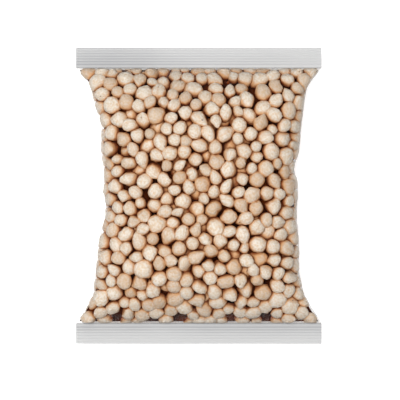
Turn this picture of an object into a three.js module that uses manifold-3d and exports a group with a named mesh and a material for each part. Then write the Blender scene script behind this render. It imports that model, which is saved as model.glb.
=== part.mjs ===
// A clear pillow bag of dried chickpeas, lying on its back with its front up.
// The bag is one sheet of film, closed by a crimped seal across each end, and the film is drawn
// close over the chickpeas, so the filled part is one solid out to the film, dimpled between them.
// Millimetres, +Z up. +Y runs towards the top seal and +X to the right of the front.
// The origin is on the surface that the bag lies on, under the middle of the bag.

import * as THREE from 'three';
import { mergeVertices } from 'three/addons/utils/BufferGeometryUtils.js';
import Module from 'manifold-3d';

const wasm = await Module();
wasm.setup();

// The bag
const BAG_WIDTH = 160; // film tube pressed flat, which is the width of each seal
const BAG_LENGTH = 193; // over both seals
const BAG_HEIGHT = 42; // crest of the filled part above the surface it lies on
const SEAL_DEPTH = 13;
const FILLED_HALF = BAG_LENGTH / 2 - SEAL_DEPTH; // from the middle to where a seal begins

// The seals: flat bands that the jaws pressed into fine ribs along X
const SEAL_HEIGHT = 15; // middle of the band above the surface
const SEAL_FILM = 0.6; // two layers of film, with the air that the ribs hold
const RIB_PITCH = 1.75;
const RIB_SWING = 0.3; // each rib rises and falls by this
const PLAIN_MARGIN = 1.5; // flat stretch between the ribs and the chickpeas
const SEAL_ROOT = 1.5; // how far a seal's band runs into the filled part

// The outline from above. The sides draw in from the seals to the waist as the bag fills.
const WAIST = 65; // half width at mid length
const SHOULDER = 70; // half width where the flare to a seal begins
const SHOULDER_PLACE = 67.5;
const SHOULDER_POWER = 2.4;
const FLARE_POWER = 1.2;
const FLARE_LENGTH = { top: 14, bottom: 20 };
// Where the film of a side is tucked in, as place along Y, depth and spread
const TUCKS = {
  left: [
    { at: 44, depth: 3.0, spread: 13 },
    { at: 16, depth: 3.0, spread: 12 },
    { at: -9, depth: 4.4, spread: 14 },
  ],
  right: [
    { at: 18, depth: 3.0, spread: 7 },
    { at: -13, depth: 1.2, spread: 12 },
    { at: -50, depth: 1.7, spread: 14 },
  ],
};

// The side view: how fast the front and back leave a seal, and the sections between
const FRONT_RISE = 44; // length over which the front climbs from a seal to the crest
const BACK_RISE = 30;
const RISE_POWER = 0.82;
const BACK_PRESS = 3.6; // the even back would reach this far below where it is pressed flat
const EDGE_HEIGHT = 19; // widest line of the filled part at mid length
const SEAM_FILM = 0.4; // the front and back stand this far off the middle of a seal
const SEAM_INSET = 0.4; // the filled part stops this far inside each end of a seal
const FRONT_ROUNDNESS = { seal: 5, middle: 2.5 }; // superellipse powers of the sections
const BACK_ROUNDNESS = { seal: 5, middle: 3.1 };

// The chickpeas under the film, nested in rows like a honeycomb
const ROWS = 21; // from seal to seal
const IN_ROW = 17; // across the front, and across the back
const CHICKPEA = 8.8; // mean width of one
const NEST = 0.25; // each row is moved by this share of a width, every second one the other way
const PLACE_SPREAD = 0.2; // each lies off its even place by up to this share of a width
const LIFT = 0.7; // and stands out by up to this much more or less than its neighbours
const DIMPLE = 2.6; // depth of the film between three chickpeas
const DIMPLE_REACH = 1 / Math.sqrt(3); // from a chickpea's middle to such a place, in widths
const DIMPLE_FADE = 5; // dimples grow over this length from a seal
const PULL = { reach: 0.05, power: 3 }; // how closely the film follows the nearest chickpea
const SEED = { front: 7, back: 19 };

// The mesh follows the honeycomb: rings across the bag, with every second one moved by half a cell
const ROW_RINGS = 3; // rings to a row of chickpeas
const END_RINGS = 2; // rings between a seal and the middles of the first row
const RINGS = ROW_RINGS * (ROWS - 1) + 2 * END_RINGS;
const RING_STEP = (2 * FILLED_HALF) / RINGS;
const CELLS = { front: 3 * IN_ROW, back: IN_ROW };
const VALLEY = 0.2; // an edge that is this share of a dimple above its neighbours spans a valley
const LONG_EDGE = 1.4; // and one this many times longer than the way across it is turned too

const FILM_OVER_CHICKPEAS = 0xe2cdb4;

// A repeatable source of numbers from 0 to 1
function randomFrom(seed) {
  let state = seed;
  return () => {
    state = (state * 1664525 + 1013904223) % 4294967296;
    return state / 4294967296;
  };
}

// 0 at a seal, 1 from the given distance on, rounded like a filled bag's shoulder
function rise(y, length) {
  const share = Math.min(1, (FILLED_HALF - Math.abs(y)) / length);
  return Math.sin((share * Math.PI) / 2) ** RISE_POWER;
}

function halfWidth(side, y) {
  const place = Math.abs(y);
  const drawnIn = WAIST + (SHOULDER - WAIST) * (place / SHOULDER_PLACE) ** SHOULDER_POWER;
  const atSeal = WAIST + (SHOULDER - WAIST) * (FILLED_HALF / SHOULDER_PLACE) ** SHOULDER_POWER;
  const flareLength = y > 0 ? FLARE_LENGTH.top : FLARE_LENGTH.bottom;
  const intoFlare = Math.max(0, place - FILLED_HALF + flareLength) / flareLength;
  const flare = (BAG_WIDTH / 2 - atSeal) * intoFlare ** FLARE_POWER;
  const tucked = TUCKS[side].reduce(
    (sum, tuck) => sum + tuck.depth * Math.exp(-(((y - tuck.at) / tuck.spread) ** 2)),
    0,
  );
  return Math.min(BAG_WIDTH / 2 - SEAM_INSET, drawnIn + flare - tucked);
}

// The front or the back of one section, from the left edge to the right edge
class FilmAcross extends THREE.Curve {
  constructor(y, side) {
    super();
    const filled = rise(y, FRONT_RISE);
    const roundness = side === 'front' ? FRONT_ROUNDNESS : BACK_ROUNDNESS;
    this.y = y;
    this.left = halfWidth('left', y);
    this.right = halfWidth('right', y);
    this.power = 2 / THREE.MathUtils.lerp(roundness.seal, roundness.middle, filled);
    this.edge = THREE.MathUtils.lerp(SEAL_HEIGHT, EDGE_HEIGHT, filled);
    const crest = SEAL_HEIGHT + SEAM_FILM + (BAG_HEIGHT - SEAL_HEIGHT - SEAM_FILM) * filled;
    const belly = SEAL_HEIGHT - SEAM_FILM - (SEAL_HEIGHT + BACK_PRESS) * rise(y, BACK_RISE);
    this.reach = (side === 'front' ? crest : belly) - this.edge;
  }

  getPoint(share, target = new THREE.Vector3()) {
    const angle = Math.PI * (1 - share);
    const across = Math.cos(angle);
    const half = across < 0 ? this.left : this.right;
    const x = Math.sign(across) * half * Math.abs(across) ** this.power;
    const z = this.edge + this.reach * Math.abs(Math.sin(angle)) ** this.power;
    return target.set(x, this.y, z);
  }
}

// The middles of the chickpeas on one side, counted across in widths and along in rings,
// with how far each has slipped from there and stands out
function chickpeasOn(side) {
  const random = randomFrom(SEED[side]);
  const spread = () => 2 * random() - 1;
  const chickpeas = [];
  for (let row = 0; row < ROWS; row++) {
    const nested = row % 2 === (side === 'front' ? 0 : 1) ? NEST : 1 - NEST;
    for (let i = 0; i < IN_ROW; i++) {
      chickpeas.push({
        across: i + nested,
        along: END_RINGS + row * ROW_RINGS,
        slipAcross: spread() * PLACE_SPREAD,
        slipAlong: (spread() * PLACE_SPREAD * CHICKPEA) / RING_STEP,
        lift: spread() * LIFT,
      });
    }
  }
  return chickpeas;
}

// One point of the mesh, which slips with the chickpeas near it, and its height off the film's
// even surface
function meshPoint(side, chickpeas, across, along) {
  let nearest = DIMPLE_REACH;
  const pull = { across: 0, along: 0, lift: 0, sum: 0 };
  for (const chickpea of chickpeas) {
    const gapAlong = ((along - chickpea.along) * RING_STEP) / CHICKPEA;
    const apart = Math.hypot(across - chickpea.across, gapAlong);
    nearest = Math.min(nearest, apart);
    const weight = 1 / (apart ** 2 + PULL.reach) ** PULL.power;
    pull.across += weight * chickpea.slipAcross;
    pull.along += weight * chickpea.slipAlong;
    pull.lift += weight * chickpea.lift;
    pull.sum += weight;
  }
  const isEdge = across === 0 || across === IN_ROW;
  const isEnd = along === 0 || along === RINGS;
  const newAcross = across + (isEdge ? 0 : pull.across / pull.sum);
  const newAlong = along + (isEdge || isEnd ? 0 : pull.along / pull.sum);
  const y = newAlong * RING_STEP - FILLED_HALF;
  const point = new FilmAcross(y, side).getPointAt(newAcross / IN_ROW);
  const grown = THREE.MathUtils.smoothstep(FILLED_HALF - Math.abs(y), 0, DIMPLE_FADE);
  const height = grown * (pull.lift / pull.sum - DIMPLE * (nearest / DIMPLE_REACH) ** 2);
  return { point, height };
}

// The points of one side on one ring, from the left edge to the right edge
function pointsAcross(side, chickpeas, along) {
  const cells = CELLS[side];
  const moved = along % 2 ? NEST : -NEST;
  return Array.from({ length: cells + 1 }, (_, i) => {
    const cell = i === 0 || i === cells ? i : i + moved;
    return meshPoint(side, chickpeas, (cell / cells) * IN_ROW, along);
  });
}

// A closed surface through the rings, with each cell cut along its shorter diagonal and a flat
// cap at each end
function loft(rings) {
  const around = rings[0].length;
  const last = rings.length - 1;
  const caps = [rings[0], rings[last]].map((ring) =>
    ring.reduce((sum, point) => sum.add(point), new THREE.Vector3()).divideScalar(around),
  );
  const points = [...rings.flat(), ...caps];
  const firstCap = rings.length * around;
  const index = [];
  for (let j = 0; j < around; j++) {
    const next = (j + 1) % around;
    for (let i = 0; i < last; i++) {
      const a = i * around + j;
      const b = i * around + next;
      const c = a + around;
      const d = b + around;
      const isShort = points[a].distanceTo(points[d]) < points[b].distanceTo(points[c]);
      index.push(...(isShort ? [a, b, d, a, d, c] : [a, b, c, b, d, c]));
    }
    index.push(firstCap, next, j);
    index.push(firstCap + 1, last * around + j, last * around + next);
  }
  const geometry = new THREE.BufferGeometry();
  const position = points.flatMap((point) => point.toArray());
  geometry.setAttribute('position', new THREE.Float32BufferAttribute(position, 3));
  geometry.setIndex(index);
  return geometry;
}

// Turns each edge that spans a valley between two chickpeas, so that it runs along the valley
function followValleys(geometry, heights) {
  const index = geometry.index.array;
  const { position } = geometry.attributes;
  const start = new THREE.Vector3();
  const end = new THREE.Vector3();
  const length = (from, to) =>
    start.fromBufferAttribute(position, from).distanceTo(end.fromBufferAttribute(position, to));
  const corners = new Map();
  const name = (from, to) => `${from} ${to}`;
  for (let corner = 0; corner < index.length; corner++) {
    const first = corner - (corner % 3);
    const from = index[first + ((corner + 1) % 3)];
    const to = index[first + ((corner + 2) % 3)];
    corners.set(name(from, to), corner);
  }
  const turned = new Set();
  for (const [edge, corner] of corners) {
    const [from, to] = edge.split(' ').map(Number);
    const other = corners.get(name(to, from));
    const [triangle, neighbour] = [Math.floor(corner / 3), Math.floor(other / 3)];
    const [low, far] = [index[corner], index[other]];
    const isRidge =
      Math.max(heights[low], heights[far]) + VALLEY * DIMPLE < Math.min(heights[from], heights[to]);
    const isLong = length(from, to) > LONG_EDGE * length(low, far);
    if (!(isRidge || isLong) || turned.has(triangle) || turned.has(neighbour)) continue;
    index.set([low, from, far], 3 * triangle);
    index.set([far, to, low], 3 * neighbour);
    turned.add(triangle).add(neighbour);
  }
}

// The filled part: an even pillow whose film is drawn in between the chickpeas, with its back
// pressed flat where the bag lies
function filledPart() {
  const front = chickpeasOn('front');
  const back = chickpeasOn('back');
  const rings = Array.from({ length: RINGS + 1 }, (_, along) => [
    ...pointsAcross('front', front, along),
    ...pointsAcross('back', back, along).slice(1, -1).reverse(),
  ]);
  const geometry = loft(rings.map((ring) => ring.map(({ point }) => point)));
  geometry.computeVertexNormals();
  const { position, normal } = geometry.attributes;
  const heights = [...rings.flat().map(({ height }) => height), 0, 0];
  followValleys(geometry, heights);
  const point = new THREE.Vector3();
  const outward = new THREE.Vector3();
  heights.forEach((height, i) => {
    outward.fromBufferAttribute(normal, i);
    point.fromBufferAttribute(position, i).addScaledVector(outward, height);
    position.setXYZ(i, point.x, point.y, Math.max(0, point.z));
  });
  return geometry;
}

// A seal's cut across the ribs, from its root to its outer edge, drawn out along X
function sealBand(side) {
  const steps = Math.floor((SEAL_DEPTH - PLAIN_MARGIN) / (RIB_PITCH / 2));
  const crimp = [[FILLED_HALF - SEAL_ROOT, 0], [FILLED_HALF + PLAIN_MARGIN, 0]];
  for (let i = 1; i < steps; i++) {
    crimp.push([FILLED_HALF + PLAIN_MARGIN + (i * RIB_PITCH) / 2, i % 2 ? RIB_SWING : -RIB_SWING]);
  }
  crimp.push([FILLED_HALF + SEAL_DEPTH, 0]);
  const over = crimp.map(([y, z]) => new THREE.Vector2(side * y, z + SEAL_FILM / 2));
  const under = crimp.map(([y, z]) => new THREE.Vector2(side * y, z - SEAL_FILM / 2));
  const cut = new THREE.Shape([...over, ...under.reverse()]);
  const band = new THREE.ExtrudeGeometry(cut, { depth: BAG_WIDTH, bevelEnabled: false });
  const alongX = new THREE.Matrix4().makeBasis(
    new THREE.Vector3(0, 1, 0),
    new THREE.Vector3(0, 0, 1),
    new THREE.Vector3(1, 0, 0),
  );
  alongX.setPosition(-BAG_WIDTH / 2, 0, SEAL_HEIGHT);
  return band.applyMatrix4(alongX);
}

function solidOf(geometry) {
  const bare = geometry.clone();
  bare.deleteAttribute('normal');
  bare.deleteAttribute('uv');
  const merged = mergeVertices(bare);
  return new wasm.Manifold(
    new wasm.Mesh({
      numProp: 3,
      vertProperties: merged.attributes.position.array,
      triVerts: new Uint32Array(merged.index.array),
    }),
  );
}

function geometryOf(solid) {
  const mesh = solid.getMesh();
  const geometry = new THREE.BufferGeometry();
  geometry.setAttribute('position', new THREE.Float32BufferAttribute(mesh.vertProperties, 3));
  geometry.setIndex(new THREE.BufferAttribute(mesh.triVerts, 1));
  geometry.computeVertexNormals();
  return geometry;
}

function makeBag() {
  const solid = solidOf(filledPart()).add(solidOf(sealBand(1))).add(solidOf(sealBand(-1)));
  const material = new THREE.MeshStandardMaterial({
    color: FILM_OVER_CHICKPEAS,
    roughness: 0.4,
    metalness: 0,
  });
  const bag = new THREE.Mesh(geometryOf(solid), material);
  bag.name = 'bag';
  return bag;
}

const chickpeaBag = new THREE.Group();
chickpeaBag.add(makeBag());

export default chickpeaBag;
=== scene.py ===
"""A clear pillow bag of dried chickpeas, lying on its back and seen from straight above."""

import math

import bpy
import numpy as np
from bpy.props import FloatProperty, FloatVectorProperty, IntProperty, PointerProperty
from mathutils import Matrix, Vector
from mathutils.bvhtree import BVHTree


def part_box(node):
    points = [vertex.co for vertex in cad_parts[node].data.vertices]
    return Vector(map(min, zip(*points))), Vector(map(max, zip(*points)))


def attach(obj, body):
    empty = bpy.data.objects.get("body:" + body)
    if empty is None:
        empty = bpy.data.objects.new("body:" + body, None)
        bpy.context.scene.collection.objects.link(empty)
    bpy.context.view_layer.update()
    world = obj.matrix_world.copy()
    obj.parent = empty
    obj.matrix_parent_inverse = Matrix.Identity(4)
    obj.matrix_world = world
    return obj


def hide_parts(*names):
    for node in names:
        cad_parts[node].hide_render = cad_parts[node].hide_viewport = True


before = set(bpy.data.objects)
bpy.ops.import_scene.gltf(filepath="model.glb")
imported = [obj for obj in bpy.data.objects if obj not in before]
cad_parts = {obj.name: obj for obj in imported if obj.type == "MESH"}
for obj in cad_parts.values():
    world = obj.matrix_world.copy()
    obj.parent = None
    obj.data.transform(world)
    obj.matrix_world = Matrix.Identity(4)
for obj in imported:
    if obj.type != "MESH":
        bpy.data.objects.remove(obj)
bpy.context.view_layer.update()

bl_info = {
    "name": "Bag of chickpeas",
    "version": (1, 0, 0),
    "blender": (4, 5, 0),
    "location": "3D View > Sidebar > Bag",
    "description": "Makes a clear pillow bag of dried chickpeas over its packed solid",
    "category": "Object",
}

MM = 0.001
BODY = "root"
NODE = "bag"

# The form of the filled part, the same as the solid's
LOWEST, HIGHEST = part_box(NODE)
BAG_WIDTH = HIGHEST.x - LOWEST.x
BAG_LENGTH = HIGHEST.y - LOWEST.y
BAG_HEIGHT = 42 * MM
SEAL_DEPTH = 13 * MM
FILLED_HALF = BAG_LENGTH / 2 - SEAL_DEPTH
SEAL_HEIGHT = 15 * MM
SEAM_FILM = 0.4 * MM
SEAM_INSET = 0.4 * MM
# Half widths at mid length and near a seal, before the sides flare out to the seals
WAIST = 65 * MM
SHOULDER = 70 * MM
SHOULDER_PLACE = 67.5 * MM
SHOULDER_POWER = 2.4
FLARE_POWER = 1.2
FLARE_TOP = 14 * MM
FLARE_BOTTOM = 20 * MM
# Tucks of the film in a side, as place along Y, depth and spread in millimetres
LEFT_TUCKS = ((44, 3.0, 13), (16, 3.0, 12), (-9, 4.4, 14))
RIGHT_TUCKS = ((18, 3.0, 7), (-13, 1.2, 12), (-50, 1.7, 14))
# How far from a seal the front and the back reach their full height
FRONT_RISE = 44 * MM
BACK_RISE = 30 * MM
RISE_POWER = 0.82
BACK_PRESS = 3.6 * MM
EDGE_HEIGHT = 19 * MM
FRONT_ROUNDNESS = (5, 2.5)  # superellipse powers of a section, at a seal and at mid length
BACK_ROUNDNESS = (5, 3.1)

# The photograph's frame, in its pixels and in real sizes
IMAGE_SIDE = 400
PIXEL = 0.6504 * MM
BAG_MIDDLE = (198.75, 195.7)
CAMERA_DISTANCE = 1.5
SENSOR = 36.0
OUTLINE_HEIGHT = 17 * MM

# The stage, in metres
FLOOR_HALF = 3.0
LAMP_WIDTH = 1.6
LAMP_PLACE = (-0.35, 0.12, 2.3)

# Meshes through rings round the bag: cells across a side and rings along it
FILM_CELLS, FILM_RINGS = 132, 144
CORE_CELLS, CORE_RINGS = 56, 96

# The core: how deep under the film, but no deeper than this share of the bag's half height
CORE_DEPTH, CORE_SHARE = 12.5 * MM, 0.93
# Chickpeas with their middles deeper under the film than this are left to the core
SHOWN_DEPTH = 13.5 * MM

# Beside a seal, where the film presses the chickpeas closest together
SEAL_STRIP = 9 * MM

# The kinds of chickpea: beak, groove, facets, egg form and lobes, as shares of the radius
KINDS = {
    "plump": (0.10, 0.04, 0.95, 0.00, 0.00),
    "round": (0.04, 0.02, 0.99, 0.02, 0.02),
    "beaked": (0.40, 0.05, 0.92, 0.07, 0.03),
    "angular": (0.24, 0.05, 0.81, 0.05, 0.07),
    "creased": (0.24, 0.24, 0.90, 0.06, 0.11),
    "long": (0.30, 0.10, 0.92, 0.15, 0.10),
}
# How common each kind is
KIND_SHARES = (0.14, 0.12, 0.22, 0.24, 0.15, 0.13)

# The width of one patch in the patterns of the seed coat, and in the painted sheen of the seals
MOTTLE_WIDTH = 2.667 * MM
SPECK_WIDTH = 1.263 * MM
SEAL_SHEEN_PATCH = 40 * MM
HILUM_PLACE = (0.62, 0.0, 0.78)  # in radii, under the beak


def linear(code):
    """An sRGB colour such as 0xE8D4BB as linear red, green and blue."""
    values = [((code >> shift) & 255) / 255 for shift in (16, 8, 0)]
    return tuple(v / 12.92 if v <= 0.04045 else ((v + 0.055) / 1.055) ** 2.4 for v in values)


def rgba(colour):
    return (*colour, 1.0)


def add(tree, kind, settings=None, inputs=None):
    """Adds a node, sets its properties, and gives its inputs a value or a link.

    A node that is given as a value stands for its first output.
    """
    node = tree.nodes.new(kind)
    for name, value in (settings or {}).items():
        setattr(node, name, value)
    for name, value in (inputs or {}).items():
        socket = node.inputs[name]
        if isinstance(value, bpy.types.Node):
            value = value.outputs[0]
        if isinstance(value, bpy.types.NodeSocket):
            tree.links.new(value, socket)
        else:
            socket.default_value = value
    return node


# The form of the filled part


def rise(y, length):
    """0 at a seal and 1 from the given distance on, rounded like a filled bag's shoulder."""
    share = np.clip((FILLED_HALF - np.abs(y)) / length, 0, 1)
    return np.sin(share * math.pi / 2) ** RISE_POWER


def half_width(y, tucks):
    """Half the filled part's width at y, with the tucks of one side."""
    place = np.abs(y)
    drawn_in = WAIST + (SHOULDER - WAIST) * (place / SHOULDER_PLACE) ** SHOULDER_POWER
    at_seal = WAIST + (SHOULDER - WAIST) * (FILLED_HALF / SHOULDER_PLACE) ** SHOULDER_POWER
    flare_length = np.where(y > 0, FLARE_TOP, FLARE_BOTTOM)
    into_flare = np.clip((place - FILLED_HALF + flare_length) / flare_length, 0, None)
    flare = (BAG_WIDTH / 2 - at_seal) * into_flare**FLARE_POWER
    tucked = sum(d * MM * np.exp(-(((y / MM - at) / spread) ** 2)) for at, d, spread in tucks)
    return np.minimum(BAG_WIDTH / 2 - SEAM_INSET, drawn_in + flare - tucked)


def edge_height(y):
    """The height of the filled part's widest line at y."""
    return SEAL_HEIGHT + (EDGE_HEIGHT - SEAL_HEIGHT) * rise(y, FRONT_RISE)


def section(x, y, is_front):
    """Half width, height of the widest line, reach from it and roundness, at each point."""
    filled = rise(y, FRONT_RISE)
    half = np.where(x < 0, half_width(y, LEFT_TUCKS), half_width(y, RIGHT_TUCKS))
    edge = edge_height(y)
    low = SEAL_HEIGHT + SEAM_FILM
    crest = low + (BAG_HEIGHT - low) * filled
    belly = SEAL_HEIGHT - SEAM_FILM - (SEAL_HEIGHT + BACK_PRESS) * rise(y, BACK_RISE)
    reach = np.where(is_front, crest - edge, edge - belly)
    powers = [np.where(is_front, f, b) for f, b in zip(FRONT_ROUNDNESS, BACK_ROUNDNESS)]
    return half, edge, reach, powers[0] + (powers[1] - powers[0]) * filled


def level(points):
    """1 on the even film, less inside it."""
    x, y, z = points.T
    half, edge, reach, power = section(x, y, z > edge_height(y))
    return ((np.abs(x) / half) ** power + (np.abs(z - edge) / reach) ** power) ** (1 / power)


def inside_film(points):
    """How far inside the even film each point is, and the outward direction there."""
    step = 0.05 * MM
    slope = np.stack(
        [level(points + step * axis) - level(points - step * axis) for axis in np.eye(3)], axis=1
    ) / (2 * step)
    steepness = np.maximum(np.linalg.norm(slope, axis=1), 1e-6)
    return (1 - level(points)) / steepness, slope / steepness[:, None]


def film_rings(cells, rings):
    """Even points round the film: rings by 2 * cells by xyz, front from left to right, then back."""
    fine = np.linspace(0, 1, 400)
    angle = math.pi * (1 - fine)
    out = np.empty((rings + 1, 2 * cells, 3))
    for row, y in enumerate(np.linspace(-FILLED_HALF, FILLED_HALF, rings + 1)):
        for is_front in (True, False):
            x_sign = np.cos(angle)
            half, edge, reach, power = section(x_sign, np.full_like(fine, y), is_front)
            x = np.sign(x_sign) * half * np.abs(x_sign) ** (2 / power)
            up = reach * np.abs(np.sin(angle)) ** (2 / power)
            z = edge + (up if is_front else -up)
            travelled = np.concatenate([[0], np.cumsum(np.hypot(np.diff(x), np.diff(z)))])
            even = np.linspace(0, travelled[-1], cells + 1)
            line = np.empty((cells + 1, 3))
            line[:, 0] = np.interp(even, travelled, x)
            line[:, 1] = y
            line[:, 2] = np.interp(even, travelled, z)
            if is_front:
                out[row, : cells + 1] = line
            else:
                out[row, cells + 1 :] = line[1:-1][::-1]
    return out


# The chickpeas


def by_a_seal(points):
    return np.abs(points[:, 1]) > FILLED_HALF - SEAL_STRIP


def shake(places, radii, held_back, rounds, growing):
    """Pushes the chickpeas apart and up against the film, over a number of rounds."""
    count = len(places)
    first_size, growth = 0.55, 0.75
    # The pairs that may touch are looked up again every so many rounds
    search_every, search_reach = 8, 2 * MM
    yielding = 0.42  # share of an overlap by which each of a pair moves in a round
    clear_of_seal = 0.7  # share of its radius
    pulled_until, outward_pull, seal_pull = 0.75, 0.05 * MM, 0.2 * MM
    # How far they may press into the even film, which is drawn over them afterwards
    press, side_press, seal_press, side_slant = 0.4 * MM, 0.7 * MM, 1.2 * MM, 0.7
    for step in range(rounds):
        share = step / rounds
        now = radii * min(1.0, first_size + growth * share) if growing else radii
        if step % search_every == 0:
            gaps = ((places[:, None] - places[None]) ** 2).sum(axis=2)
            close = gaps < (now[:, None] + now[None] + search_reach) ** 2
            one, other = np.nonzero(np.triu(close, 1))
        apart = places[one] - places[other]
        gap = np.maximum(np.linalg.norm(apart, axis=1), 1e-7)
        push = np.maximum(now[one] + now[other] - gap, 0) / gap * yielding
        moves = apart * push[:, None]
        for axis in range(3):
            places[:, axis] += np.bincount(one, moves[:, axis], count)
            places[:, axis] -= np.bincount(other, moves[:, axis], count)
        limit = FILLED_HALF - clear_of_seal * now
        places[:, 1] = np.clip(places[:, 1], -limit, limit)
        room, outward = inside_film(places)
        near_seal = by_a_seal(places)
        if share < pulled_until:
            places += outward * outward_pull
            places[:, 1] += np.sign(places[:, 1]) * near_seal * seal_pull
        # The film holds those at the seals and along the sides the tightest
        at_side = np.abs(outward[:, 0]) > side_slant
        clear = np.where(at_side, -side_press, held_back - press)
        clear = np.where(near_seal, -seal_press, clear)
        places -= outward * np.maximum(now + clear - room, 0)[:, None]
        places[:, 2] = np.maximum(places[:, 2], now)


def filled_up(places, radii, width, rng):
    """Middles and radii with more chickpeas, in the holes that are left under the film."""
    attempts, attempts_by_seal = 60000, 24000
    # The smallest one and the gap to the seal, as shares of a mean and of its own radius
    smallest, smallest_by_seal, clear_of_seal = 0.82, 0.76, 0.6
    # How far they may be past the even film or under it, and into their neighbours
    past, past_by_seal, under = 0.6 * MM, 2.6 * MM, 3.5 * MM
    overlap, overlap_at_side, overlap_by_seal, side_slant = 1.3 * MM, 2 * MM, 2.8 * MM, 0.8
    tries = rng.uniform(LOWEST, HIGHEST, (attempts, 3))
    sides = np.sign(tries[:attempts_by_seal, 1])
    tries[:attempts_by_seal, 1] = sides * (FILLED_HALF - rng.uniform(0, SEAL_STRIP, attempts_by_seal))
    near_seal = by_a_seal(tries)
    sizes = width / 2 * rng.uniform(np.where(near_seal, smallest_by_seal, smallest), 1.0)
    room, outward = inside_film(tries)
    ends = FILLED_HALF - clear_of_seal * sizes
    depth = room - sizes
    under_film = (depth > -np.where(near_seal, past_by_seal, past)) & (depth < under)
    fits = under_film & (np.abs(tries[:, 1]) < ends) & (tries[:, 2] > sizes - 1 * MM)
    tries, sizes, near_seal, outward = tries[fits], sizes[fits], near_seal[fits], outward[fits]
    at_side = np.abs(outward[:, 0]) > side_slant
    pressed = np.where(at_side, overlap_at_side, overlap)
    pressed = np.where(near_seal, overlap_by_seal, pressed)
    closest = np.array([(np.linalg.norm(places - t, axis=1) - radii).min() for t in tries]) - sizes
    for index in np.argsort(-closest - pressed):
        gap = np.linalg.norm(places - tries[index], axis=1) - radii - sizes[index]
        if gap.min() > -pressed[index]:
            places = np.append(places, tries[index : index + 1], axis=0)
            radii = np.append(radii, sizes[index])
    return places, radii


def packed_chickpeas(count, width, spread, seed):
    """Middles and radii of round chickpeas, shaken together until the bag is full of them."""
    pack_rounds, fill_times, fill_rounds = 360, 2, 16
    held_share, least_back, most_back = 0.3, 1 * MM, 4.2 * MM
    rng = np.random.default_rng(seed)
    radii = width / 2 * np.clip(rng.normal(1, spread, count), 1 - 2 * spread, 1 + 2 * spread)
    tries = rng.uniform(LOWEST, HIGHEST, (count * 6, 3))
    places = tries[(np.abs(tries[:, 1]) < FILLED_HALF) & (level(tries) < 0.97)][:count]
    if len(places) < count:
        raise RuntimeError("the bag doesn't hold so many chickpeas")
    # Some stay back from the film, so that the outermost layer is uneven
    is_held = rng.random(count) < held_share
    held_back = np.where(is_held, rng.uniform(least_back, most_back, count), 0)
    shake(places, radii, held_back, pack_rounds, growing=True)
    for _ in range(fill_times):
        places, radii = filled_up(places, radii, width, rng)
        held_back = np.append(held_back, np.zeros(len(places) - len(held_back)))
        shake(places, radii, held_back, fill_rounds, growing=False)
    return places, radii


def chickpea_shape(kind):
    """One dried chickpea of about unit radius: beak at +Z, groove from it down the +X side."""
    rng = np.random.default_rng(11 + list(KINDS).index(kind))
    beak, groove, facet, egg, lobes = KINDS[kind]
    segments, rings = 10, 7
    groove_width, tip_width, hook = 0.4, 0.42, 0.6
    flats, flat_reach = 9, 0.5
    waves, wave_rate, wave_height = 6, 2.8, 0.022
    points = [(0, 0)]
    points += [
        (math.pi * i / rings, math.tau * j / segments)
        for i in range(1, rings)
        for j in range(segments)
    ]
    points.append((math.pi, 0))
    polar, azimuth = np.array(points).T
    way = np.stack(
        [np.sin(polar) * np.cos(azimuth), np.sin(polar) * np.sin(azimuth), np.cos(polar)], axis=1
    )
    turn = (azimuth + math.pi) % math.tau - math.pi
    size = 1 - egg * np.cos(polar) - lobes * np.cos(2 * azimuth) * np.sin(polar)
    size -= groove * np.exp(-((turn / groove_width) ** 2)) * np.sin(polar) ** 0.7
    for flat in rng.normal(size=(flats, 3)):
        along = way @ (flat / np.linalg.norm(flat))
        cut = np.minimum(size, facet / np.maximum(along, flat_reach))
        size = np.where(along > flat_reach, cut, size)
    for wave, phase in zip(
        rng.normal(scale=wave_rate, size=(waves, 3)), rng.uniform(0, math.tau, waves)
    ):
        size += wave_height * np.cos(way @ wave + phase)
    tip = np.exp(-((polar / tip_width) ** 2))
    size += beak * tip
    vertices = way * size[:, None]
    # The beak hooks over the fold
    vertices[:, 0] += beak * hook * tip
    faces = [(0, 1 + j, 1 + (j + 1) % segments) for j in range(segments)]
    for i in range(rings - 2):
        for j in range(segments):
            a = 1 + i * segments + j
            b = 1 + i * segments + (j + 1) % segments
            faces.append((a, a + segments, b + segments, b))
    last = len(vertices) - 1
    start = last - segments
    faces += [(last, start + (j + 1) % segments, start + j) for j in range(segments)]
    mesh = bpy.data.meshes.new("one_chickpea_" + kind)
    mesh.from_pydata(vertices.tolist(), [], faces)
    mesh.shade_smooth()
    own = mesh.attributes.new("own", "FLOAT_VECTOR", "POINT")
    own.data.foreach_set("vector", way.ravel())
    return mesh


# Geometry Nodes trees


def new_tree(name, inputs, output):
    """An empty Geometry Nodes tree with named inputs, and the sockets that give their values."""
    tree = bpy.data.node_groups.new(name, "GeometryNodeTree")
    for label, kind in inputs.items():
        tree.interface.new_socket(label, in_out="INPUT", socket_type="NodeSocket" + kind)
    tree.interface.new_socket(output, in_out="OUTPUT", socket_type="NodeSocketGeometry")
    return tree, add(tree, "NodeGroupInput").outputs


def end_tree(tree, geometry, material):
    """Ends a tree with real mesh in one material."""
    real = add(tree, "GeometryNodeRealizeInstances", None, {"Geometry": geometry})
    made = add(tree, "GeometryNodeSetMaterial", None, {"Geometry": real, "Material": material})
    add(tree, "NodeGroupOutput", None, {0: made})
    return tree


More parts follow.
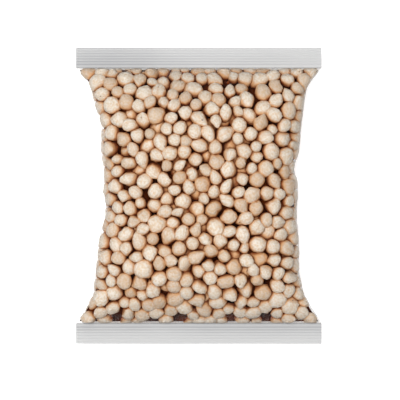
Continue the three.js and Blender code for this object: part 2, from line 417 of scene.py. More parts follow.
def scatter_tree():
    """Sets one kind of chickpea on its places, turned at random, as real mesh."""
    inputs = {
        "Places": "Geometry",
        "Chickpea": "Object",
        "Kind": "Int",
        "Plumpness": "Float",
        "Seed": "Int",
        "Length seed": "Int",
        "Skin": "Material",
    }
    tree, given = new_tree("chickpeas_on_places", inputs, "Chickpeas")
    kind = add(tree, "GeometryNodeInputNamedAttribute", {"data_type": "INT"}, {"Name": "kind"})
    radius = add(tree, "GeometryNodeInputNamedAttribute", {"data_type": "FLOAT"}, {"Name": "size"})
    same = add(
        tree,
        "FunctionNodeCompare",
        {"data_type": "INT", "operation": "EQUAL"},
        {2: kind.outputs["Attribute"], 3: given["Kind"]},
    )
    turn = add(
        tree,
        "FunctionNodeRandomValue",
        {"data_type": "FLOAT_VECTOR"},
        {0: (0, 0, 0), 1: (math.tau, math.tau, math.tau), "Seed": given["Seed"]},
    )
    euler = add(tree, "FunctionNodeEulerToRotation", None, {0: turn})
    # Each is stretched in its own way, the most along its beak
    long = add(
        tree,
        "FunctionNodeRandomValue",
        {"data_type": "FLOAT_VECTOR"},
        {0: (0.90, 0.90, 0.94), 1: (1.08, 1.10, 1.16), "Seed": given["Length seed"]},
    )
    plump = add(
        tree,
        "ShaderNodeMath",
        {"operation": "MULTIPLY"},
        {0: radius.outputs["Attribute"], 1: given["Plumpness"]},
    )
    scale = add(tree, "ShaderNodeVectorMath", {"operation": "SCALE"}, {0: long, "Scale": plump})
    shape = add(tree, "GeometryNodeObjectInfo", None, {"Object": given["Chickpea"]})
    placed = add(
        tree,
        "GeometryNodeInstanceOnPoints",
        None,
        {
            "Points": given["Places"],
            "Selection": same,
            "Instance": shape.outputs["Geometry"],
            "Rotation": euler,
            "Scale": scale,
        },
    )
    return end_tree(tree, placed, given["Skin"])


def band_tree():
    """A flat band of film that the sealing jaws pressed into ribs along X."""
    numbers = ("Width", "Depth", "Margin", "Pitch", "Swing", "Film", "Wave")
    numbers += ("Turn", "Clouding", "Clearing")
    inputs = {"Geometry": "Geometry"} | dict.fromkeys(numbers, "Float")
    inputs |= {"Place": "Vector", "Material": "Material"}
    tree, given = new_tree("crimped_band", inputs, "Band")
    grid = add(
        tree,
        "GeometryNodeMeshGrid",
        None,
        {"Size X": given["Width"], "Size Y": given["Depth"], "Vertices X": 81, "Vertices Y": 79},
    )
    position = add(tree, "GeometryNodeInputPosition")
    where = add(tree, "ShaderNodeSeparateXYZ", None, {0: position}).outputs
    known = {"x": where["X"], "y": where["Y"]} | {name: given[name] for name in numbers}
    for name, operation, *terms in (
        # Ribs that swing up from the margin on
        ("half", "MULTIPLY", "Depth", 0.5),
        ("along", "ADD", "y", "half"),
        ("into", "SUBTRACT", "along", "Margin"),
        ("turns", "DIVIDE", "into", "Pitch"),
        ("angle", "MULTIPLY", "turns", math.tau),
        ("cosine", "COSINE", "angle"),
        ("down", "SUBTRACT", 1.0, "cosine"),
        ("ribbed", "GREATER_THAN", "into", 0.0),
        ("both", "MULTIPLY", "down", "ribbed"),
        ("rib", "MULTIPLY", "both", 0.5),
        ("lift", "MULTIPLY", "rib", "Swing"),
        # A slow wave of the whole band, which grows towards the outer edge
        ("across", "DIVIDE", "x", "Width"),
        ("slow", "MULTIPLY", "across", 11.0),
        ("bend", "SINE", "slow"),
        ("outer", "DIVIDE", "along", "Depth"),
        ("bent", "MULTIPLY", "bend", "outer"),
        ("warp", "MULTIPLY", "bent", "Wave"),
        ("height", "ADD", "lift", "warp"),
        # The painted shade lines fade towards the outer edge
        ("bite", "MULTIPLY_ADD", "outer", -0.35, 1.0),
        ("mark", "MULTIPLY", "rib", "bite"),
        # How much darker the seal is, from end to end and from root to edge
        ("one end", "MULTIPLY", "across", "Clouding"),
        ("inner", "SUBTRACT", 0.5, "outer"),
        ("root", "MULTIPLY", "inner", "Clearing"),
        ("cloud", "ADD", "one end", "root"),
        ("thickness", "MULTIPLY", "Film", -1.0),
    ):
        values = {index: known.get(term, term) for index, term in enumerate(terms)}
        known[name] = add(tree, "ShaderNodeMath", {"operation": operation}, values)
    sheet = grid
    for name, value in (("rib", known["mark"]), ("cloud", known["cloud"])):
        sheet = add(
            tree,
            "GeometryNodeStoreNamedAttribute",
            {"data_type": "FLOAT", "domain": "POINT"},
            {"Geometry": sheet, "Name": name, "Value": value},
        )
    offset = add(tree, "ShaderNodeCombineXYZ", None, {"Z": known["height"]})
    pressed = add(tree, "GeometryNodeSetPosition", None, {"Geometry": sheet, "Offset": offset})
    thick = add(tree, "ShaderNodeCombineXYZ", None, {"Z": known["thickness"]})
    under = add(
        tree,
        "GeometryNodeExtrudeMesh",
        {"mode": "FACES"},
        {"Mesh": pressed, "Offset": thick, "Offset Scale": 1.0, "Individual": False},
    )
    flipped = add(tree, "GeometryNodeFlipFaces", None, {0: under})
    both = add(tree, "GeometryNodeJoinGeometry")
    tree.links.new(pressed.outputs[0], both.inputs[0])
    tree.links.new(flipped.outputs[0], both.inputs[0])
    closed = add(
        tree, "GeometryNodeMergeByDistance", None, {"Geometry": both, "Distance": 0.01 * MM}
    )
    turn = add(tree, "ShaderNodeCombineXYZ", None, {"Z": given["Turn"]})
    placed = add(
        tree,
        "GeometryNodeTransform",
        None,
        {"Geometry": closed, "Translation": given["Place"], "Rotation": turn},
    )
    return end_tree(tree, placed, given["Material"])


def grown(name, source, tree, inputs):
    """The plain mesh that a tree makes from source, as a new object."""
    carrier = bpy.data.objects.new(name + "_carrier", source)
    bpy.context.scene.collection.objects.link(carrier)
    modifier = carrier.modifiers.new("nodes", "NODES")
    modifier.node_group = tree
    for item in tree.interface.items_tree:
        if item.in_out == "INPUT" and item.name in inputs:
            modifier[item.identifier] = inputs[item.name]
    bpy.context.view_layer.update()
    graph = bpy.context.evaluated_depsgraph_get()
    mesh = bpy.data.meshes.new_from_object(
        carrier.evaluated_get(graph), preserve_all_data_layers=True, depsgraph=graph
    )
    bpy.data.objects.remove(carrier)
    return linked(name, mesh)


# Meshes


def vectors(parts, name):
    """The places or directions of a mesh's parts, as rows of x, y and z."""
    values = np.empty(len(parts) * 3)
    parts.foreach_get(name, values)
    return values.reshape(-1, 3)


def hold_inside(mesh):
    """The film keeps every chickpea in line with it, and the floor those at the back."""
    end_gap, film_gap, furthest, floor_gap = 0.4 * MM, 0.3 * MM, 2 * MM, 0.45 * MM
    points = vectors(mesh.vertices, "co")
    ends = FILLED_HALF - end_gap
    points[:, 1] = np.clip(points[:, 1], -ends, ends)
    room, outward = inside_film(points)
    points -= outward * np.clip(film_gap - room, 0, furthest)[:, None]
    points[:, 2] = np.maximum(points[:, 2], floor_gap)
    mesh.vertices.foreach_set("co", points.ravel())
    mesh.update()


def mark_openness(mesh, places, radii):
    """Stores which share of the light the other chickpeas leave to each point."""
    batch, reach, most = 4000, 22 * MM, 0.95
    points = vectors(mesh.vertices, "co")
    normals = vectors(mesh.vertex_normals, "vector")
    open_share = np.empty(len(points))
    for start in range(0, len(points), batch):
        part = slice(start, start + batch)
        away = places[None] - points[part, None]
        distance = np.linalg.norm(away, axis=2)
        facing = np.clip((away * normals[part, None]).sum(axis=2) / distance, 0, 1)
        blocked = facing * np.minimum(radii / distance, 1) ** 2 * (distance < reach)
        open_share[part] = np.prod(1 - most * blocked, axis=1)
    mesh.attributes.new("openness", "FLOAT", "POINT").data.foreach_set("value", open_share)


def surface_mesh(name, rings, material):
    """A closed mesh through rings of points, each end closed by a fan."""
    count, around = rings.shape[:2]
    caps = rings[[0, -1]].mean(axis=1)
    vertices = np.concatenate([rings.reshape(-1, 3), caps])
    first_cap, last_ring = count * around, (count - 1) * around
    faces = []
    for start in range(0, last_ring, around):
        for j in range(around):
            k = (j + 1) % around
            faces.append((start + j, start + k, start + around + k, start + around + j))
    for j in range(around):
        k = (j + 1) % around
        faces.append((first_cap, k, j))
        faces.append((first_cap + 1, last_ring + j, last_ring + k))
    mesh = bpy.data.meshes.new(name)
    mesh.from_pydata(vertices.tolist(), [], faces)
    mesh.materials.append(material)
    mesh.shade_smooth()
    return mesh


def ring_normals(rings):
    """The outward direction at each point of a ringed surface."""
    across = np.roll(rings, -1, axis=1) - np.roll(rings, 1, axis=1)
    along = np.gradient(rings, axis=0)
    normals = np.cross(across, along)
    return normals / np.linalg.norm(normals, axis=2, keepdims=True)


def reach_of_contents(rings, outward):
    """How far out the core and chickpeas hold the film, measured from the even film."""
    trees = []
    for name in ("chickpea_core", *("chickpeas_" + kind for kind in KINDS)):
        piece = bpy.data.objects.get(name)
        if piece is None:
            raise RuntimeError("make the core and the chickpeas first")
        mesh = piece.data
        vertices = [v.co for v in mesh.vertices]
        trees.append(BVHTree.FromPolygons(vertices, [p.vertices for p in mesh.polygons]))
    clearance, above, deepest = 0.25 * MM, 3 * MM, 9 * MM
    held = np.full(rings.shape[:2], -deepest)
    for index in np.ndindex(*held.shape):
        way = Vector(outward[index])
        start = Vector(rings[index]) + way * above
        for tree in trees:
            hit = tree.ray_cast(start, -way, above + deepest)
            if hit[0] is not None:
                held[index] = max(held[index], above - hit[3] + clearance)
    return held


def linked(name, mesh):
    if not mesh.polygons:
        raise RuntimeError(name + " came out empty")
    piece = bpy.data.objects.new(name, mesh)
    mesh.name = name
    bpy.context.scene.collection.objects.link(piece)
    return piece


def settle(piece):
    """Hangs the piece on the body that it rides on, and hides the solid that it replaces."""
    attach(piece, BODY)
    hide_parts(NODE)


# Materials


def new_material(name):
    material = bpy.data.materials.new(name)
    material.use_nodes = True
    return material, material.node_tree


def chickpea_skin(settings):
    """Kabuli chickpea seed coat, dried: matt and waxy, cream on the crests, with painted shade, warm to
    brown, in its fold and where other chickpeas hide the light.
    """
    material, tree = new_material("dried_chickpea_seed_coat")
    shader = tree.nodes["Principled BSDF"]
    own = add(tree, "ShaderNodeAttribute", {"attribute_name": "own"}).outputs["Vector"]
    tone = add(tree, "ShaderNodeAttribute", {"attribute_name": "tone"}).outputs["Fac"]
    openness = add(tree, "ShaderNodeAttribute", {"attribute_name": "openness"}).outputs["Fac"]
    # The own place is measured in radii, and each chickpea reads its own part of the patterns
    radius = settings.mean_width / 2
    far = (31.0, 17.0, 23.0)
    shift = add(tree, "ShaderNodeVectorMath", {"operation": "SCALE"}, {0: far, "Scale": tone})
    place = add(tree, "ShaderNodeVectorMath", {"operation": "ADD"}, {0: own, 1: shift})
    mottle = add(
        tree,
        "ShaderNodeTexNoise",
        None,
        {"Vector": place, "Scale": radius / MOTTLE_WIDTH, "Detail": 3.0},
    )
    specks = add(
        tree,
        "ShaderNodeTexNoise",
        None,
        {"Vector": place, "Scale": radius / SPECK_WIDTH, "Detail": 4.0, "Roughness": 0.65},
    )
    parts = add(tree, "ShaderNodeSeparateXYZ", None, {0: own}).outputs
    aside = add(tree, "ShaderNodeMath", {"operation": "ABSOLUTE"}, {0: parts["Y"]})
    reach = add(tree, "ShaderNodeVectorMath", {"operation": "DISTANCE"}, {0: own, 1: HILUM_PLACE})
    shares = {}
    for name, curve, value, low, high, at_low, at_high in (
        ("mottled", "LINEAR", mottle, 0.42, 0.72, 0.0, 0.3),
        # Bloom and dust, in specks
        ("dusty", "LINEAR", specks, 0.42, 0.58, 0.0, 0.7),
        # Nearly half of them are tanned all over, a few of these strongly
        ("tanned", "LINEAR", tone, 0.55, 1.0, 0.0, 0.42),
        # Painted shade: the fold beside the beak is painted warmer and darker
        ("near fold", "SMOOTHSTEP", aside, 0.0, 0.22, 1.0, 0.0),
        ("fold side", "SMOOTHSTEP", parts["X"], 0.1, 0.6, 0.0, 0.22),
        # Painted shade: where other chickpeas hide more of the light, the coat is painted warmer, then
        # brown, then nearly black
        ("shaded", "SMOOTHSTEP", openness, 0.37, 0.95, 0.88, 0.0),
        ("painted_shade", "SMOOTHSTEP", openness, 0.08, 0.60, 1.0, 0.0),
        ("deepest", "SMOOTHSTEP", openness, 0.0, 0.18, 1.0, 0.0),
        # The hilum is a dark dot about 1 mm across
        ("hilum", "SMOOTHSTEP", reach.outputs["Value"], 0.06, 0.17, 0.55, 0.0),
    ):
        shares[name] = add(
            tree,
            "ShaderNodeMapRange",
            {"interpolation_type": curve},
            {"Value": value, "From Min": low, "From Max": high, "To Min": at_low, "To Max": at_high},
        )
    # Dust hides the hilum on most of them
    bare = add(tree, "ShaderNodeMath", {"operation": "LESS_THAN"}, {0: tone, 1: 0.3})
    dots = {0: shares["hilum"], 1: bare}
    dotted = add(tree, "ShaderNodeMath", {"operation": "MULTIPLY"}, dots)
    fold_shade_parts = {0: shares["near fold"], 1: shares["fold side"]}
    fold_shade = add(tree, "ShaderNodeMath", {"operation": "MULTIPLY"}, fold_shade_parts)
    coat = rgba(settings.cream)
    for share, colour in (
        (shares["mottled"], settings.mottle_and_shade_peach),
        (shares["dusty"], settings.dust),
        (shares["tanned"], settings.tan),
        # Painted shade in the fold beside the beak
        (fold_shade, settings.fold),
        # These three are painted shade, by how little light the other chickpeas leave
        (shares["shaded"], settings.mottle_and_shade_peach),
        (shares["painted_shade"], settings.painted_shade),
        (shares["deepest"], settings.hilum),
        (dotted, settings.hilum),
    ):
        mix = {"Factor": share, "A": coat, "B": rgba(colour)}
        coat = add(tree, "ShaderNodeMix", {"data_type": "RGBA"}, mix).outputs["Result"]
    tree.links.new(coat, shader.inputs["Base Color"])
    shader.inputs["Roughness"].default_value = 0.7
    shader.inputs["IOR"].default_value = 1.45
    shader.inputs["Specular IOR Level"].default_value = 0.06
    # The dried coat is wrinkled where its dust lies, deeper than it really is so that it shows
    bump = add(
        tree, "ShaderNodeBump", None, {"Height": specks, "Strength": 1.0, "Distance": 1.4 * MM}
    )
    tree.links.new(bump.outputs[0], shader.inputs["Normal"])
    return material


def core_material(settings):
    """The chickpeas far down in the bag, which little light reaches: painted shade, brown and matt."""
    material, tree = new_material("shaded_chickpeas_of_the_core")
    shader = tree.nodes["Principled BSDF"]
    place = add(tree, "ShaderNodeTexCoord").outputs["Object"]
    # Cells as wide as a chickpea, with painted shade darker where they meet
    cells = add(
        tree, "ShaderNodeTexVoronoi", None, {"Vector": place, "Scale": 1 / settings.mean_width}
    )
    painted_shade = add(
        tree,
        "ShaderNodeMapRange",
        None,
        {"Value": cells.outputs["Distance"], "From Min": 0.2, "From Max": 0.7},
    )
    shaded = rgba([0.4 * v for v in settings.painted_shade])
    mix = {"Factor": painted_shade, "A": shaded, "B": rgba(settings.hilum)}
    coat = add(tree, "ShaderNodeMix", {"data_type": "RGBA"}, mix)
    tree.links.new(coat.outputs["Result"], shader.inputs["Base Color"])
    shader.inputs["Roughness"].default_value = 0.8
    shader.inputs["Specular IOR Level"].default_value = 0.1
    return material


def clear_film(settings):
    """Biaxially stretched polypropylene film, clear and glossy: only its shine shows."""
    material, tree = new_material("clear_polypropylene_film")
    tree.nodes.clear()
    # Seen along its face the film lets less through and is milky
    slant = add(tree, "ShaderNodeLayerWeight", None, {"Blend": 0.5}).outputs["Facing"]
    dim = {0: slant, 1: -settings.dimming, 2: 1.0}
    passed = add(tree, "ShaderNodeMath", {"operation": "MULTIPLY_ADD"}, dim)
    clear = {0: tuple(settings.film_tint), "Scale": passed}
    tint = add(tree, "ShaderNodeVectorMath", {"operation": "SCALE"}, clear)
    through = add(tree, "ShaderNodeBsdfTransparent", None, {"Color": tint})
    gloss = add(tree, "ShaderNodeBsdfGlossy", None, {"Color": (1, 1, 1, 1), "Roughness": 0.14})
    fresnel = add(tree, "ShaderNodeFresnel", None, {"IOR": 1.49})
    shine = add(tree, "ShaderNodeMath", {"operation": "MULTIPLY"}, {0: fresnel, 1: settings.shine})
    film = add(tree, "ShaderNodeMixShader", None, {0: shine, 1: through, 2: gloss})
    steep = add(tree, "ShaderNodeMath", {"operation": "POWER"}, {0: slant, 1: 4.0})
    milk = add(tree, "ShaderNodeMath", {"operation": "MULTIPLY"}, {0: steep, 1: settings.milk})
    white = add(tree, "ShaderNodeBsdfDiffuse", None, {"Color": (0.8, 0.8, 0.8, 1)})
    milky = add(tree, "ShaderNodeMixShader", None, {0: milk, 1: film, 2: white})
    add(tree, "ShaderNodeOutputMaterial", None, {"Surface": milky})
    return material


def crimped_film(settings):
    """The same film, two layers welded by ribbed jaws: hazy grey, with painted shade as a dark line in
    each rib.
    """
    material, tree = new_material("heat_sealed_polypropylene_film")
    tree.nodes.clear()
    rib = add(tree, "ShaderNodeAttribute", {"attribute_name": "rib"}).outputs["Fac"]
    cloud = add(tree, "ShaderNodeAttribute", {"attribute_name": "cloud"}).outputs["Fac"]
    # Painted shade: a dark line along each rib
    line = add(
        tree,
        "ShaderNodeMapRange",
        {"interpolation_type": "SMOOTHSTEP"},
        {"Value": rib, "From Min": 0.35, "From Max": 1.0, "To Min": 0.0, "To Max": 1.0},
    )
    # Painted sheen: the seal is lighter and darker in patches along it
    place = add(tree, "ShaderNodeTexCoord").outputs["Object"]
    patches = {"Vector": place, "Scale": 1 / SEAL_SHEEN_PATCH, "Detail": 1.0}
    patch = add(tree, "ShaderNodeTexNoise", None, patches)
    patchy_sheen = add(
        tree,
        "ShaderNodeMapRange",
        None,
        {"Value": patch, "From Min": 0.3, "From Max": 0.7, "To Min": -0.08, "To Max": 0.08},
    )
    lines = {0: line, 1: 0.5, 2: cloud}
    lined = add(tree, "ShaderNodeMath", {"operation": "MULTIPLY_ADD"}, lines)
    darkness = add(tree, "ShaderNodeMath", {"operation": "ADD"}, {0: lined, 1: patchy_sheen})
    mix = {"Factor": darkness, "A": rgba(settings.seal_light), "B": rgba(settings.seal_dark)}
    tint = add(tree, "ShaderNodeMix", {"data_type": "RGBA"}, mix).outputs["Result"]
    through = add(tree, "ShaderNodeBsdfTransparent", None, {"Color": tint})
    haze = add(
        tree, "ShaderNodeBsdfPrincipled", None, {"Base Color": tint, "Roughness": 0.3, "IOR": 1.49}
    )
    film = add(tree, "ShaderNodeMixShader", None, {0: settings.seal_haze, 1: through, 2: haze})
    add(tree, "ShaderNodeOutputMaterial", None, {"Surface": film})
    return material


def floor_material(settings):
    """Opal acrylic of a light table: matt white, with a little light from below."""
    material, tree = new_material("opal_acrylic_light_table")
    shader = tree.nodes["Principled BSDF"]
    shader.inputs["Base Color"].default_value = rgba(settings.floor)
    shader.inputs["Roughness"].default_value = 0.9
    shader.inputs["Emission Color"].default_value = (1, 1, 1, 1)
    shader.inputs["Emission Strength"].default_value = settings.table
    return material


# Settings


class ChickpeaSettings(bpy.types.PropertyGroup):
    count: IntProperty(name="Count", description="Chickpeas in the bag", default=1100, min=50)
    mean_width: FloatProperty(
        name="Mean width", description="Mean width of a chickpea", default=9.6 * MM, unit="LENGTH"
    )
    spread: FloatProperty(
        name="Spread", description="Share by which the widths differ", default=0.12, subtype="FACTOR"
    )
    seed: IntProperty(name="Seed", description="How the chickpeas fell into the bag", default=2)
    cream: FloatVectorProperty(
        name="Cream", description="Seed coat on the crests", subtype="COLOR", default=linear(0xCBBAA4)
    )
    # Mottling of the coat, and also painted shade where other chickpeas hide some of the light
    mottle_and_shade_peach: FloatVectorProperty(
        name="Peach", description="Mottling of the coat", subtype="COLOR", default=linear(0xCC9864)
    )
    dust: FloatVectorProperty(
        name="Dust", description="Bloom on the coat", subtype="COLOR", default=linear(0xDCD7CF)
    )
    tan: FloatVectorProperty(
        name="Tan", description="The darker chickpeas", subtype="COLOR", default=linear(0xAD8359)
    )
    # Painted shade: the brown where other chickpeas hide most of the light, and in the core
    painted_shade: FloatVectorProperty(
        name="Deep", description="Coat of the second layer", subtype="COLOR", default=linear(0x7E3409)
    )
    # Painted shade in the fold beside the beak
    fold: FloatVectorProperty(
        name="Fold", description="The fold beside the beak", subtype="COLOR", default=linear(0xB08055)
    )
    # The dot under the beak, and also the darkest painted shade between chickpeas and in the core
    hilum: FloatVectorProperty(
        name="Hilum", description="The dot under the beak", subtype="COLOR", default=linear(0x220600)
    )


class FilmSettings(bpy.types.PropertyGroup):
    shine: FloatProperty(
        name="Shine", description="How strongly the film mirrors", default=0.22, subtype="FACTOR"
    )
    dimming: FloatProperty(
        name="Dimming", description="Light kept back along its face", default=0.12, subtype="FACTOR"
    )
    milk: FloatProperty(
        name="Milkiness", description="How milky it is along its face", default=0.4, subtype="FACTOR"
    )
    film_tint: FloatVectorProperty(
        name="Film", description="What the film lets through", subtype="COLOR", default=linear(0xFAFAFA)
    )
    seal_light: FloatVectorProperty(
        name="Seal", description="The seal between its lines", subtype="COLOR", default=linear(0xC6C6C6)
    )
    # Painted shade: the lines in the seal
    seal_dark: FloatVectorProperty(
        name="Lines", description="The lines in the seal", subtype="COLOR", default=linear(0x97989B)
    )
    seal_haze: FloatProperty(
        name="Haze", description="How cloudy a seal is", default=0.65, subtype="FACTOR"
    )
    pitch: FloatProperty(
        name="Rib pitch", description="From rib to rib of a seal", default=1.75 * MM, unit="LENGTH"
    )


class StageSettings(bpy.types.PropertyGroup):
    floor: FloatVectorProperty(
        name="Floor", description="Colour of the floor", subtype="COLOR", default=linear(0xFDFDFD)
    )
    table: FloatProperty(name="Table", description="Light from below the floor", default=0.3)
    lamp: FloatProperty(name="Lamp", description="Power of the overhead lamp", default=90.0, unit="POWER")
    sky: FloatProperty(name="Sky", description="Strength of the even light", default=0.27)


# The pieces


class BAG_OT_core(bpy.types.Operator):
    """Makes the heart of the heap, more than a chickpea's width under the film, in the colour of painted
    shade
    """

    bl_idname = "chickpea_bag.core"
    bl_label = "Core"

    def execute(self, context):
        settings = context.scene.chickpeas
        rings = film_rings(CORE_CELLS, CORE_RINGS)[1:-1]
        y = rings[..., 1]
        low, high = rings[..., 2].min(axis=1), rings[..., 2].max(axis=1)
        half_height = ((high - low) / 2)[:, None]
        middle = ((high + low) / 2)[:, None]
        inset = np.minimum(CORE_DEPTH, CORE_SHARE * half_height)
        # Flat towards the sides, where a thin edge of it lies behind the outermost chickpeas
        rim, flatness, lump_height = 0.16, 0.9, 0.9 * MM
        filled = rise(y, FRONT_RISE)
        share = np.abs(rings[..., 0]) / np.abs(rings[..., 0]).max(axis=1)[:, None]
        flat = 1 - flatness * np.clip((share - 1 + rim) / rim, 0, 1) ** 0.5 * filled
        side_gap = 0.8 * MM + 2 * MM * filled
        x = rings[..., 0] * (1 - side_gap / (BAG_WIDTH / 2))
        edge = edge_height(y)
        z = middle + (rings[..., 2] - middle) * (1 - inset / half_height)
        z = edge + (z - edge) * flat
        turns = math.tau / settings.mean_width
        z = z + np.cos(x * turns) * np.cos(y * turns) * lump_height * filled
        mesh = surface_mesh("chickpea_core", np.stack([x, y, z], axis=2), core_material(settings))
        settle(linked("chickpea_core", mesh))
        return {"FINISHED"}


class BAG_OT_chickpeas(bpy.types.Operator):
    """Makes the chickpeas that show, in six kinds of shape"""

    bl_idname = "chickpea_bag.chickpeas"
    bl_label = "Chickpeas"

    def execute(self, context):
        settings = context.scene.chickpeas
        places, radii = packed_chickpeas(
            settings.count, settings.mean_width, settings.spread, settings.seed
        )
        room, _ = inside_film(places)
        shown = (room < SHOWN_DEPTH) | (places[:, 2] < SHOWN_DEPTH)
        rng = np.random.default_rng(settings.seed)
        kinds = rng.choice(len(KINDS), len(places), p=KIND_SHARES)
        tones = rng.uniform(0, 1, len(places))
        points = bpy.data.meshes.new("chickpea_places")
        points.from_pydata(places[shown].tolist(), [], [])
        for name, kind, values in (
            ("size", "FLOAT", radii[shown]),
            ("tone", "FLOAT", tones[shown]),
            ("kind", "INT", kinds[shown]),
        ):
            points.attributes.new(name, kind, "POINT").data.foreach_set("value", values)
        skin = chickpea_skin(settings)
        tree = scatter_tree()
        for number, kind in enumerate(KINDS):
            shape = bpy.data.objects.new("one_chickpea_" + kind, chickpea_shape(kind))
            piece = grown(
                "chickpeas_" + kind,
                points,
                tree,
                {
                    "Chickpea": shape,
                    "Kind": number,
                    "Plumpness": 1.03,
                    "Seed": settings.seed + number,
                    "Length seed": settings.seed + number + 100,
                    "Skin": skin,
                },
            )
            bpy.data.objects.remove(shape)
            hold_inside(piece.data)
            mark_openness(piece.data, places, radii)
            settle(piece)
        return {"FINISHED"}


class BAG_OT_film(bpy.types.Operator):
    """Draws the clear film over the chickpeas"""

    bl_idname = "chickpea_bag.film"
    bl_label = "Film"

    def execute(self, context):
        settings = context.scene.film
        rings = film_rings(FILM_CELLS, FILM_RINGS)
        outward = ring_normals(rings)
        blocked = reach_of_contents(rings, outward)
        # Each point sinks a little below its neighbours' mean, until something under it holds it
        rounds, suction, off_floor = 500, 0.012 * MM, 0.25 * MM
        drawn = np.zeros(blocked.shape)
        for _ in range(rounds):
            around = (np.roll(drawn, 1, axis=1) + np.roll(drawn, -1, axis=1)) / 4
            around[1:-1] += (drawn[:-2] + drawn[2:]) / 4
            drawn[1:-1] = np.maximum(blocked, around - suction)[1:-1]
        film = rings + outward * drawn[..., None]
        film[..., 2] = np.maximum(film[..., 2], off_floor)
        mesh = surface_mesh("bag_film", film, clear_film(settings))
        settle(linked("bag_film", mesh))
        return {"FINISHED"}


class BAG_OT_seam(bpy.types.Operator):
    """Makes the lap seam that closes the film tube, flat along the middle of the back"""

    bl_idname = "chickpea_bag.seam"
    bl_label = "Back seam"

    def execute(self, context):
        film = bpy.data.objects.get("bag_film")
        if film is None:
            raise RuntimeError("make the film first")
        half, steps = 5 * MM, 8
        gap, bottom = 0.04 * MM, 0.2 * MM
        # All of the film's points but the middles of its two end caps
        points = vectors(film.data.vertices, "co")[:-2]
        rings = points.reshape(FILM_RINGS + 1, 2 * FILM_CELLS, 3)
        under = np.empty((FILM_RINGS + 1, 2 * steps, 3))
        for row, back in enumerate(rings[:, FILM_CELLS:]):
            order = np.argsort(back[:, 0])
            x = np.linspace(-half, half, steps)
            z = np.interp(x, back[order, 0], back[order, 2])
            y = np.full(steps, back[0, 1])
            under[row, :steps] = np.stack([x, y, z - gap], axis=1)
            under[row, steps:] = np.stack([x, y, z - bottom], axis=1)[::-1]
        mesh = surface_mesh("back_seam", under, crimped_film(context.scene.film))
        # It is welded flat, so its ribs stay at 0
        mesh.attributes.new("rib", "FLOAT", "POINT")
        settle(linked("back_seam", mesh))
        return {"FINISHED"}


class BAG_OT_seals(bpy.types.Operator):
    """Makes the crimped seal across each end"""

    bl_idname = "chickpea_bag.seals"
    bl_label = "Seals"

    def execute(self, context):
        settings = context.scene.film
        tree = band_tree()
        material = crimped_film(settings)
        root = 0.5 * MM
        depth = SEAL_DEPTH + root
        # Each seal is darker towards one end and towards its root by these shares
        for name, side, end_darkening, root_darkening in (
            ("seal_top", 1, -0.6, 0.25),
            ("seal_bottom", -1, 0.0, 0.8),
        ):
            piece = grown(
                name,
                bpy.data.meshes.new(name + "_start"),
                tree,
                {
                    "Width": BAG_WIDTH,
                    "Depth": depth,
                    "Margin": root + 1.2 * MM,
                    "Pitch": settings.pitch,
                    "Swing": 0.25 * MM,
                    "Clouding": end_darkening,
                    "Clearing": root_darkening,
                    "Film": 0.2 * MM,
                    "Wave": 0.5 * MM,
                    "Turn": 0.0 if side > 0 else math.pi,
                    "Place": (0.0, side * (FILLED_HALF - root + depth / 2), SEAL_HEIGHT),
                    "Material": material,
                },
            )
            piece.data.shade_smooth()
            piece.data.set_sharp_from_angle(angle=math.radians(50))
            settle(piece)
        return {"FINISHED"}


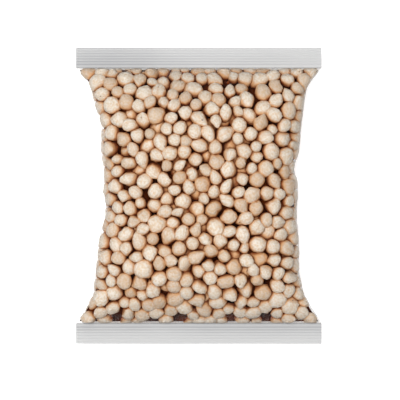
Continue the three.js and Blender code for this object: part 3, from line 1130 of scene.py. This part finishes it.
class BAG_OT_stage(bpy.types.Operator):
    """Sets the floor, the light and the camera"""

    bl_idname = "chickpea_bag.stage"
    bl_label = "Stage"

    def execute(self, context):
        settings = context.scene.stage
        scene = context.scene
        mesh = bpy.data.meshes.new("floor")
        signs = ((-1, -1), (1, -1), (1, 1), (-1, 1))
        corners = [(x * FLOOR_HALF, y * FLOOR_HALF, 0) for x, y in signs]
        mesh.from_pydata(corners, [], [(0, 1, 2, 3)])
        mesh.materials.append(floor_material(settings))
        floor = bpy.data.objects.new("floor", mesh)
        scene.collection.objects.link(floor)

        world = bpy.data.worlds.new("even_studio_light")
        world.use_nodes = True
        background = world.node_tree.nodes["Background"]
        background.inputs["Color"].default_value = (1, 1, 1, 1)
        background.inputs["Strength"].default_value = settings.sky
        scene.world = world

        lamp = bpy.data.lights.new("overhead_softbox", "AREA")
        lamp.shape = "DISK"
        lamp.size = LAMP_WIDTH
        lamp.energy = settings.lamp
        softbox = bpy.data.objects.new("overhead_softbox", lamp)
        # A crossed polariser keeps the lamp's own glare off the film
        softbox.visible_glossy = False
        softbox.location = LAMP_PLACE
        softbox.rotation_euler = softbox.location.to_track_quat("Z", "Y").to_euler()
        scene.collection.objects.link(softbox)

        lens = bpy.data.cameras.new("camera")
        lens.sensor_width = SENSOR
        lens.lens = SENSOR * CAMERA_DISTANCE / (IMAGE_SIDE * PIXEL)
        lens.clip_end = 20
        camera = bpy.data.objects.new("camera", lens)
        right = (IMAGE_SIDE / 2 - BAG_MIDDLE[0]) * PIXEL
        up = (BAG_MIDDLE[1] - IMAGE_SIDE / 2) * PIXEL
        camera.location = (right, up, OUTLINE_HEIGHT + CAMERA_DISTANCE)
        scene.collection.objects.link(camera)
        scene.camera = camera
        scene.view_settings.view_transform = "Standard"
        return {"FINISHED"}


class BAG_PT_panel(bpy.types.Panel):
    bl_idname = "BAG_PT_panel"
    bl_label = "Bag of chickpeas"
    bl_space_type = "VIEW_3D"
    bl_region_type = "UI"
    bl_category = "Bag"

    def draw(self, context):
        for group in (context.scene.chickpeas, context.scene.film, context.scene.stage):
            box = self.layout.box()
            for name in group.__annotations__:
                box.prop(group, name)
        for operator in OPERATORS:
            self.layout.operator(operator.bl_idname)


OPERATORS = (BAG_OT_core, BAG_OT_chickpeas, BAG_OT_film, BAG_OT_seam, BAG_OT_seals, BAG_OT_stage)
GROUPS = {"chickpeas": ChickpeaSettings, "film": FilmSettings, "stage": StageSettings}


def register():
    for kind in (*GROUPS.values(), *OPERATORS, BAG_PT_panel):
        bpy.utils.register_class(kind)
    for name, group in GROUPS.items():
        setattr(bpy.types.Scene, name, PointerProperty(type=group))


def unregister():
    for name in GROUPS:
        delattr(bpy.types.Scene, name)
    for kind in reversed((*GROUPS.values(), *OPERATORS, BAG_PT_panel)):
        bpy.utils.unregister_class(kind)


def main():
    register()
    bpy.ops.chickpea_bag.stage()
    bpy.ops.chickpea_bag.core()
    bpy.ops.chickpea_bag.chickpeas()
    bpy.ops.chickpea_bag.film()
    bpy.ops.chickpea_bag.seam()
    bpy.ops.chickpea_bag.seals()


if __name__ == "__main__":
    main()
